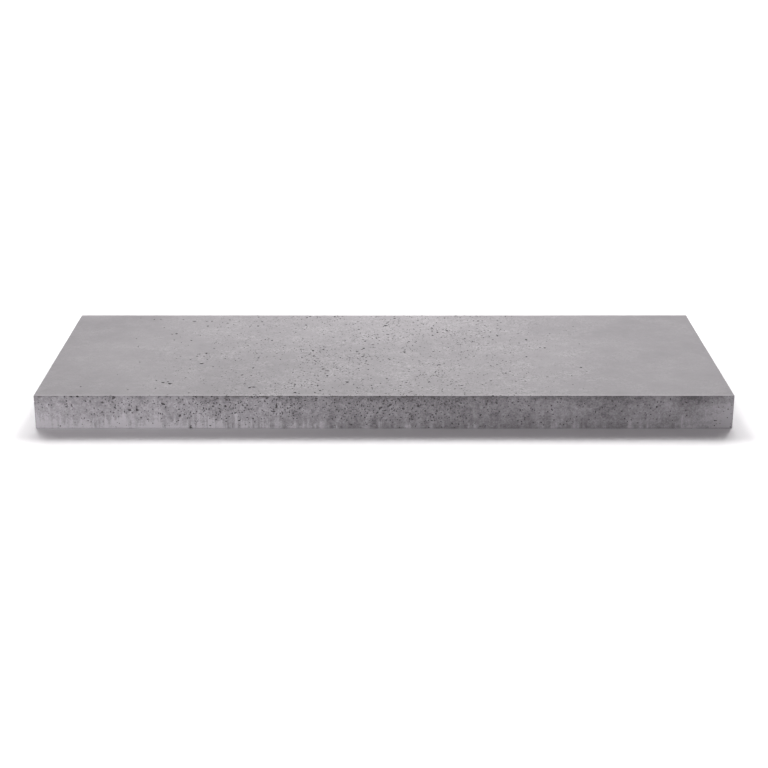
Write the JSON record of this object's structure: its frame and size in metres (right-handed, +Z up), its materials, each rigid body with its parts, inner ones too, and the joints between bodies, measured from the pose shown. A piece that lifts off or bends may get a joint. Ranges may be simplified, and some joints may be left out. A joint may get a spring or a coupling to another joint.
{
  "type": "concrete paving slab",
  "caption": "Long flat rectangular slab of cast grey concrete with a lightly pitted face and eased edges, laid on a bed as paving, a step tread or a coping.",
  "frame": {"origin": "middle of the bed face, the flat underside that lies on the sand or mortar", "axes": "+X along the slab's length, +Y across its width away from the long side that faces the viewer, +Z up out of the wearing face"},
  "size_m": [1, 0.4, 0.05],
  "materials": {
    "concrete": "matte"
  },
  "bodies": {
    "root": {"slab": "concrete"}
  },
  "joints": []
}
